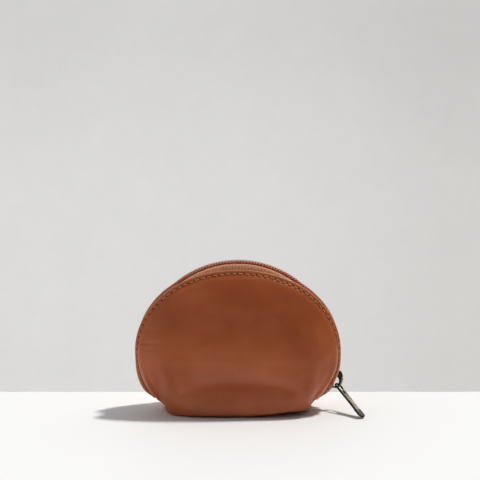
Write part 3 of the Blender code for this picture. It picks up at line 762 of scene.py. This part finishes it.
# ------------------------------------------------------------ zipper tapes
def tape_half(name, back):
    # the ends run on into the two box corners and are tucked in behind the leather
    deg = np.linspace(TAPE_START_DEG - 6.4, TAPE_END_DEG + 6.0, 440)
    u = np.interp(deg, ARCH_ANGLE, STATIONS)
    end = 1 - smooth((np.minimum(deg - TAPE_START_DEG, TAPE_END_DEG - deg) + 1.0) / 3.0)
    length = drop_length(u)
    edge = shell(u, np.zeros_like(u))
    edge_r = np.hypot(edge[:, 0], edge[:, 2] - CHAIN_Z)
    below = np.maximum(1.1, edge_r - (CHAIN_R - 2.0))
    full = smooth(np.minimum(deg - TAPE_START_DEG, TAPE_END_DEG - deg) / 12.0)
    drop = 7.0 * (0.3 + 0.7 * full)
    out = parting(deg)
    sewn = LEATHER_T + 0.38

    def sewn_at(e):
        v = e / length
        p = leather_face(u, v, back)
        n = normals(u, v)
        return p - n * sewn

    edge_y = -edge[:, 1]
    mid = np.maximum(2.9 + out, np.minimum(edge_y - LEATHER_T - 0.9, 3.9))
    squeeze = 1 - end * (1 - np.clip((edge_y - LEATHER_T - 0.2) / mid, 0.04, 1))
    level = -0.72 + end * np.minimum(0, edge_r - CHAIN_R - 0.9 + 0.72)
    first = [chain_point(deg, -(0.28 + out * (1 - end)) * squeeze, level), chain_point(deg, -(1.2 + out) * squeeze, level), chain_point(deg, -(2.4 + out) * squeeze, level + 0.02)]
    first.append(chain_point(deg, -mid * squeeze, level - 0.13))
    keys = first + [sewn_at(below), sewn_at(below + drop * 0.35), sewn_at(below + drop * 0.7), sewn_at(below + drop)]
    keys = np.stack(keys, axis=1)
    # a smooth line through the keys of each cross-section
    steps = []
    m = keys.shape[1]
    for i in range(m - 1):
        p0, p1, p2, p3 = keys[:, max(0, i - 1)], keys[:, i], keys[:, i + 1], keys[:, min(m - 1, i + 2)]
        for f in np.linspace(0, 1, 5, endpoint=False):
            steps.append(0.5 * (2 * p1 + (p2 - p0) * f + (2 * p0 - 5 * p1 + 4 * p2 - p3) * f ** 2 + (3 * p1 - p0 - 3 * p2 + p3) * f ** 3))
    steps.append(keys[:, -1])
    top = np.stack(steps, axis=1)
    across = np.concatenate([np.zeros((len(deg), 1)), np.cumsum(np.linalg.norm(np.diff(top, axis=1), axis=-1), axis=1)], axis=1)
    along = np.broadcast_to((np.radians(deg) * CHAIN_R)[:, None], across.shape)
    n = unit(np.cross(np.gradient(top, axis=0), np.gradient(top, axis=1)))
    ripple = 0.05 * np.sin(2 * math.pi * along / 5.1) * bell(across - 3.6, 1.6)
    top = top + n * ripple[..., None]
    bottom = top - n * 0.3
    if back:
        top, bottom = mirrored(top), mirrored(bottom)
    return dress(slab(name, top, bottom, {"cloth_along": along, "cloth_across": across}, flip=back), TAPE, TAPE, TAPE)


tape_front_cloth = tape_half("tape_front_cloth", False)
tape_back_cloth = tape_half("tape_back_cloth", True)


# ------------------------------------------------------------ coils
def coil_half(name, side):
    """A real spiral: each turn's head reaches over the middle, half a pitch from the other coil's."""
    length = math.radians(COIL_END_DEG - COIL_START_DEG) * CHAIN_R
    turns = int(length / COIL_PITCH)
    per = 18
    k = np.arange(turns * per + 1) / per
    if side > 0:
        k = k + 0.5
    phase = 2 * math.pi * k
    # the turn is squarish: it flattens on top and stands up at its head
    cy = np.cos(phase)
    cz = np.sin(phase)
    cy = np.sign(cy) * np.abs(cy) ** 0.72
    cz = np.sign(cz) * np.abs(cz) ** 0.8
    along = k * COIL_PITCH + 0.42 * COIL_PITCH * np.cos(phase)
    deg = COIL_START_DEG + np.degrees(np.clip(along, 0, length) / CHAIN_R)
    y = -1.02 + 1.22 * cy
    y = side * (-y) if side > 0 else y
    y = y + side * parting(deg)
    c = 0.08 + 0.46 * cz
    return dress(tubes(name, [chain_point(deg, y, c)], 0.35, 8), NYLON)


coil_front_teeth = coil_half("coil_front_teeth", -1)
coil_back_teeth = coil_half("coil_back_teeth", 1)


def coil_sewing(name, side):
    """A line of sewing holds each coil to its tape; every stitch dips between two turns."""
    lines = []
    for row in (-1.35,):
        deg = np.linspace(COIL_START_DEG + 0.6, COIL_END_DEG - 0.6, 1600)
        s = np.radians(deg - COIL_START_DEG) * CHAIN_R / COIL_PITCH
        c = 0.78 + 0.14 * np.cos(2 * math.pi * (s + (0.5 if side > 0 else 0.0)) - 1.2)
        y = side * (-row + parting(deg) + 0.07 * np.sin(2 * math.pi * s))
        lines.append(chain_point(deg, y, c))
    return dress(tubes(name, lines, 0.13, 6), COIL_THREAD)


coil_front_sewing = coil_sewing("coil_front_sewing", -1)
coil_back_sewing = coil_sewing("coil_back_sewing", 1)


# ------------------------------------------------------------ topstitch
def stitch(p, q, up, rise=0.30, points=13):
    """One stitch: a short thread that arches from one hole to the next and dives in at both ends."""
    t = np.linspace(0, 1, points)
    line = p[None] + (q - p)[None] * (0.09 + 0.82 * t)[:, None]
    height = -0.55 + (rise + 0.55) * np.minimum(1, np.sin(math.pi * t) * 1.75) ** 0.8
    return line + up[None] * height[:, None]


def topstitch(name, back):
    k = np.arange(STITCHES + 1)
    u = STITCH_FROM + (1 - 2 * STITCH_FROM) * k / STITCHES
    v = STITCH_IN / drop_length(u)
    p = leather_face(u, v, back)
    e = 0.0025
    n = normals(u, v)
    across = unit(leather_face(u, v + 0.004, back) - leather_face(u, np.maximum(v - 0.004, 0), back))
    lines = []
    for i in range(STITCHES):
        up = unit(n[i] + n[i + 1])
        # each stitch lies a little across the seam
        tilt = across[i] * 0.16
        lines.append(stitch(p[i] + tilt + up * 0.12, p[i + 1] - tilt + up * 0.12, up))
    lines = np.array(lines)
    if back:
        lines = mirrored(lines)

    def width(count):
        t = np.linspace(0, 1, count)
        return 0.19 + 0.15 * np.sin(math.pi * t) ** 0.5

    return dress(tubes(name, list(lines), width, 8, 0.8), THREAD)


stitches_front = topstitch("stitches_front", False)
stitches_back = topstitch("stitches_back", True)


def corner_sewing(name, side):
    """The short seam that closes the box corner, along the end of the base."""
    ys = np.arange(-9.0, 9.1, 3.0)
    lines = []
    for a, b in zip(ys[:-1], ys[1:]):
        pts = []
        for y in (a + 0.2, b - 0.2):
            x = CORNER_X * max(0.0, 1 - (abs(y) / BASE_HALF_DEPTH) ** FOOT_POWER) ** (1 / FOOT_POWER)
            pts.append(np.array([side * (x + 0.10), y, 1.9 + float(lift(np.array(side * x), np.array(y)))]))
        lines.append(stitch(pts[0], pts[1], np.array([side * 0.97, 0.0, -0.25]), 0.26))
    return dress(tubes(name, lines, 0.2, 8), THREAD)


corner_sewing_right = corner_sewing("corner_sewing_right", 1)
corner_sewing_left = corner_sewing("corner_sewing_left", -1)


# ------------------------------------------------------------ metal pieces
def cast(node, name, voxel, rounds, mat, factor=0.5):
    """A die-cast copy of a CAD piece: its edges and inside corners are rounded all over."""
    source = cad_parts[node]
    ob = bpy.data.objects.new(name, source.data.copy())
    bpy.context.scene.collection.objects.link(ob)
    ob.matrix_world = source.matrix_world.copy()
    remesh = ob.modifiers.new("voxels", "REMESH")
    remesh.mode = "VOXEL"
    remesh.voxel_size = voxel * MM
    soften = ob.modifiers.new("soften", "SMOOTH")
    soften.factor = factor
    soften.iterations = rounds
    bpy.context.view_layer.update()
    mesh = bpy.data.meshes.new_from_object(ob.evaluated_get(bpy.context.evaluated_depsgraph_get()))
    ob.modifiers.clear()
    ob.data = mesh
    mesh.polygons.foreach_set("use_smooth", [True] * len(mesh.polygons))
    mesh.name = name
    return dress(ob, mat)


slider_casting = cast("slider_body", "slider_casting", 0.12, 4, BRASS_PAINTED_SHADE)
bridge_casting = cast("slider_bridge", "bridge_casting", 0.10, 5, BRASS)
pull_casting = cast("pull_tab", "pull_casting", 0.10, 4, BRASS_PAINTED_LIGHT)
stop_top_front = cast("top_stop_front", "stop_top_front", 0.09, 5, BRASS)
stop_top_back = cast("top_stop_back", "stop_top_back", 0.09, 5, BRASS)
stop_bottom = cast("bottom_stop", "stop_bottom", 0.11, 5, BRASS)

# the tab's own frame: along, across and out of its face
PULL_PIVOT = np.array([53.3277, 0.7701, 13.6353])
PULL_DIR = np.array([0.45691, -0.75840, -0.46484])
PULL_W = np.array([0.74349, 0.61249, -0.26849])
PULL_N = np.array([0.48832, -0.22293, 0.84371])
PULL_LENGTH = 27.3


def engrave(ob):
    """A band of slanted lines cut into the tab's bulb, with a rim left round it."""
    mesh = ob.data
    co = np.empty(len(mesh.vertices) * 3)
    mesh.vertices.foreach_get("co", co)
    co = co.reshape(-1, 3) / MM
    no = np.empty(len(mesh.vertices) * 3)
    mesh.vertices.foreach_get("normal", no)
    no = no.reshape(-1, 3)
    rel = co - PULL_PIVOT
    a, b, facing = rel @ PULL_DIR, rel @ PULL_W, no @ PULL_N
    centre = PULL_LENGTH - 2.68
    # the field is a rounded panel on the bulb
    d = np.hypot(np.maximum(np.abs(a - (centre - 0.9)) - 1.6, 0), b)
    field = 1 - smooth((d - 1.35) / 0.3)
    lines = 0.5 + 0.5 * np.cos(2 * math.pi * (a * 0.8 + b * 0.6) / 0.78)
    depth = field * (0.09 + 0.13 * (1 - lines ** 1.5))
    flat = smooth((np.abs(facing) - 0.75) / 0.2)
    # a shallow channel runs down the middle of the shaft
    channel = 0.10 * bell(b, 0.75) * smooth((a - 9.6) / 0.6) * (1 - smooth((a - 18.4) / 0.7))
    move = -(depth + channel) * flat
    co = co + no * move[:, None]
    mesh.vertices.foreach_set("co", (co * MM).reshape(-1))
    layer = mesh.attributes.new("painted_shade_and_patina", "FLOAT", "POINT")
    # painted shade: the tab's narrow sides are black
    sides = 1 - smooth((np.abs(facing) - 0.35) / 0.4)
    bulb = smooth((a - (PULL_LENGTH - 6.6)) / 0.8)
    # painted shade: black in the eye and along one rail of the shaft, where shade falls; the bulb is blackened with its
    # raised line tops left brass, and the middle channel darkened a little
    place = np.clip(((a + 3.0) / 0.5).astype(int), 0, 63)
    reach = np.array([b[place == k].min() if (place == k).any() else 0.0 for k in range(64)])
    rail = smooth((reach[place] + 0.95 - b) / 0.25) * smooth((no @ PULL_N + 0.2) / 0.5)
    eye = 1 - smooth((a - 2.6) / 1.0)
    dark = np.clip(sides + 0.93 * bulb * (1 - 0.8 * field * flat * smooth((lines - 0.86) / 0.10)) + 0.95 * rail + 0.9 * eye + 0.25 * flat * bell(b, 0.6) * (channel > 0.01), 0, 1)
    layer.data.foreach_set("value", dark.astype(np.float32))
    mesh.update()


engrave(pull_casting)

# the slider's own frame at rest
SLIDE_ALONG = np.array([0.22495, 0.0, 0.97437])
SLIDE_OUT = np.array([0.97437, 0.0, -0.22495])


def blacken(ob, swell=0.0):
    """Painted shade and patina: black on the flat sides as painted shade, and in the hollows as patina; the outer face
    is left brass.
    """
    mesh = ob.data
    co = np.empty(len(mesh.vertices) * 3)
    mesh.vertices.foreach_get("co", co)
    no = np.empty(len(mesh.vertices) * 3)
    mesh.vertices.foreach_get("normal", no)
    co, no = co.reshape(-1, 3) / MM, no.reshape(-1, 3)
    centre = np.array([CHAIN_R * math.cos(math.radians(CLOSED_DEG)), 0, CHAIN_Z + CHAIN_R * math.sin(math.radians(CLOSED_DEG))])
    a = (co - centre) @ SLIDE_ALONG
    outward = no @ SLIDE_OUT
    # painted shade on the flat sides across the slider, black on faces turned inward as patina
    value = smooth((np.abs(no[:, 1]) - 0.80) / 0.17) + smooth((0.02 - outward) / 0.35)
    if swell:
        # the painted shade is kept off the bridge's outer face, except at its top, so it stays brass where light
        # catches it
        out = (co - centre) @ SLIDE_OUT
        skin = np.interp(a, [-5.15, -4.9, -4.3, -3.3, -1.4, 0.6, 2.5, 4.0, 4.8, 5.0], [3.7, 4.7, 5.5, 6.0, 6.2, 6.2, 5.95, 5.1, 3.9, 2.4])
        value = value * (1 - (1 - smooth((skin - out - 0.45) / 0.3)) * (1 - smooth((a - 0.6) / 1.6)))
        co = co + SLIDE_OUT * (0.30 * smooth((out - 5.1) / 0.6) * smooth((a + 4.2) / 1.2) * (1 - smooth((a - 0.4) / 1.4)))[:, None]
        co = co + no * np.array([1.0, 0.0, 1.0]) * (0.06 + swell * bell(a - 0.6, 1.6))[:, None]
        mesh.vertices.foreach_set("co", (co * MM).reshape(-1))
    layer = mesh.attributes.new("painted_shade_and_patina", "FLOAT", "POINT")
    layer.data.foreach_set("value", np.clip(value, 0, 1).astype(np.float32))
    mesh.update()


blacken(bridge_casting, 0.15)
blacken(slider_casting)
for ob in (stop_top_front, stop_top_back, stop_bottom):
    blacken(ob)

# ------------------------------------------------------------ who stands for what, and what moves with what
for piece, node, half in (
    (front_leather, "front_panel", "front_half"),
    (back_leather, "back_panel", "back_half"),
    (front_lining_cloth, "front_lining", "front_half"),
    (back_lining_cloth, "back_lining", "back_half"),
    (tape_front_cloth, "zipper_tape_front", "front_half"),
    (tape_back_cloth, "zipper_tape_back", "back_half"),
    (coil_front_teeth, "zipper_coil_front", "front_half"),
    (coil_back_teeth, "zipper_coil_back", "back_half"),
    (coil_front_sewing, None, "front_half"),
    (coil_back_sewing, None, "back_half"),
    (stitches_front, "front_topstitch", "front_half"),
    (stitches_back, "back_topstitch", "back_half"),
    (stop_top_front, "top_stop_front", "front_half"),
    (stop_top_back, "top_stop_back", "back_half"),
):
    if node:
        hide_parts(node)
    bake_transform(piece)

for piece, node, body in (
    (base_leather, "base_panel", "base"),
    (base_lining_cloth, "base_lining", "base"),
    (stop_bottom, "bottom_stop", "base"),
    (corner_sewing_right, "corner_stitch_right", "base"),
    (corner_sewing_left, "corner_stitch_left", "base"),
    (slider_casting, "slider_body", "slider"),
    (bridge_casting, "slider_bridge", "slider"),
    (pull_casting, "pull_tab", "pull"),
):
    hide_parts(node)
    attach(piece, body)

# ------------------------------------------------------------ stage
TABLE_BACK = 0.0372


def stage_material(name, colour, rough, marks=0.0, glow=None, falls=False):
    mat, tree, bsdf = nodes_of(name)
    coord = add(tree, "ShaderNodeTexCoord").outputs["Object"]
    cloud = noise(tree, 9.0, 8.0, 0.62, coord)
    fine = noise(tree, 70.0, 6.0, 0.65, coord)
    tone = math_node(tree, "ADD", math_node(tree, "MULTIPLY", cloud, 0.6), math_node(tree, "MULTIPLY", fine, 0.4))
    low = tuple(c * (1 - marks) for c in colour)
    high = tuple(min(1.0, c * (1 + marks)) for c in colour)
    shade = mix(tree, ramp(tree, tone, [(0.3, 0.0), (0.7, 1.0)]), low, high)
    if falls:
        # a plastered wall: the light falls off upwards and to the right
        where = add(tree, "ShaderNodeSeparateXYZ", {"Vector": coord})
        up = add(tree, "ShaderNodeMapRange", {"Value": where.outputs["Z"], "From Min": 0.0, "From Max": 0.24, "To Min": 0.0, "To Max": 0.095}, interpolation_type="SMOOTHSTEP").outputs["Result"]
        right = add(tree, "ShaderNodeMapRange", {"Value": where.outputs["X"], "From Min": 0.0, "From Max": 0.26, "To Min": 0.0, "To Max": 0.085}).outputs["Result"]
        keep = math_node(tree, "SUBTRACT", math_node(tree, "SUBTRACT", 1.0, up), right)
        shade = mix(tree, 1.0, shade, keep, "MULTIPLY")
        shade = mix(tree, math_node(tree, "MULTIPLY", right, 5.0, True), shade, mix(tree, 1.0, shade, (1.0, 0.965, 0.94), "MULTIPLY"))
    if glow is None:
        tree.links.new(shade, bsdf.inputs["Base Color"])
        bsdf.inputs["Roughness"].default_value = rough
        bsdf.inputs["Specular IOR Level"].default_value = 0.2
        tree.links.new(bump(tree, fine, 0.1, 0.0004), bsdf.inputs["Normal"])
    else:
        bsdf.inputs["Base Color"].default_value = (0.02, 0.02, 0.02, 1)
        bsdf.inputs["Roughness"].default_value = 1.0
        bsdf.inputs["Specular IOR Level"].default_value = 0.0
        tree.links.new(shade, bsdf.inputs["Emission Color"])
        bsdf.inputs["Emission Strength"].default_value = glow
    return mat


def stage_box(name, low, high, mat, bevel=0.0):
    bm = bmesh.new()
    bmesh.ops.create_cube(bm, size=1.0)
    for v in bm.verts:
        v.co = Vector([lo + (hi - lo) * (c + 0.5) for lo, hi, c in zip(low, high, v.co)])
    mesh = bpy.data.meshes.new(name)
    bm.to_mesh(mesh)
    bm.free()
    ob = bpy.data.objects.new(name, mesh)
    bpy.context.scene.collection.objects.link(ob)
    mesh.materials.append(mat)
    if bevel:
        mod = ob.modifiers.new("edge", "BEVEL")
        mod.width, mod.segments = bevel, 3
    return ob


table_top = stage_box("table_top", (-2.5, -2.6, -0.06), (2.5, TABLE_BACK, 0.0), stage_material("table_white", (0.884, 0.888, 0.886), 0.6, 0.008), 0.0008)
wall = stage_box("wall", (-4.0, 0.95, -1.2), (4.0, 0.97, 2.2), stage_material("wall_plaster", (0.712, 0.706, 0.695), 1.0, 0.03, glow=1.0, falls=True))

# ------------------------------------------------------------ light
world = bpy.data.worlds.new("studio")
bpy.context.scene.world = world
world.use_nodes = True
wt = world.node_tree
background = wt.nodes["Background"]
direction = add(wt, "ShaderNodeTexCoord").outputs["Generated"]
split = add(wt, "ShaderNodeSeparateXYZ", {"Vector": direction})
# darker on the camera's side of the room, lighter overhead and towards the wall
front_dark = add(wt, "ShaderNodeMapRange", {"Value": split.outputs["Y"], "From Min": -0.35, "From Max": 0.6, "To Min": 0.02, "To Max": 0.62}).outputs["Result"]
overhead = add(wt, "ShaderNodeMapRange", {"Value": split.outputs["Z"], "From Min": 0.3, "From Max": 1.0, "To Min": 0.0, "To Max": 0.10}).outputs["Result"]
# a bright window wall on the left
leftward = add(wt, "ShaderNodeMapRange", {"Value": split.outputs["X"], "From Min": -0.25, "From Max": -0.9, "To Min": 0.0, "To Max": 0.60}).outputs["Result"]
level = math_node(wt, "ADD", math_node(wt, "ADD", front_dark, overhead), leftward)
tint = mix(wt, 1.0, (0.97, 0.985, 1.0), level, "MULTIPLY")
wt.links.new(tint, background.inputs["Color"])
background.inputs["Strength"].default_value = 1.0

sun = bpy.data.lights.new("key", "SUN")
sun.energy = 2.55
sun.angle = math.radians(5.5)
sun.color = (1.0, 0.988, 0.965)
key = bpy.data.objects.new("key", sun)
bpy.context.scene.collection.objects.link(key)
toward = Vector((0.475, 0.22, 0.95)).normalized()
key.rotation_mode = "QUATERNION"
key.rotation_quaternion = toward.to_track_quat("Z", "Y")
key.location = toward * 2.0

# ------------------------------------------------------------ camera
PITCH = math.radians(8.0)
aim = Vector((0, math.cos(PITCH), -math.sin(PITCH)))
above = Vector((0, math.sin(PITCH), math.cos(PITCH)))
middle_of_view = Vector((0.00107, 0, 0.040)) + above * 0.05167
camera_data = bpy.data.cameras.new("camera")
camera_data.lens, camera_data.sensor_width = 100.0, 36.0
camera_data.clip_start, camera_data.clip_end = 0.05, 20.0
camera = bpy.data.objects.new("camera", camera_data)
bpy.context.scene.collection.objects.link(camera)
camera.location = middle_of_view - aim * 0.7155
camera.rotation_mode = "QUATERNION"
camera.rotation_quaternion = aim.to_track_quat("-Z", "Y")
bpy.context.scene.camera = camera
bpy.context.scene.view_settings.view_transform = "Standard"
bpy.context.scene.view_settings.look = "None"
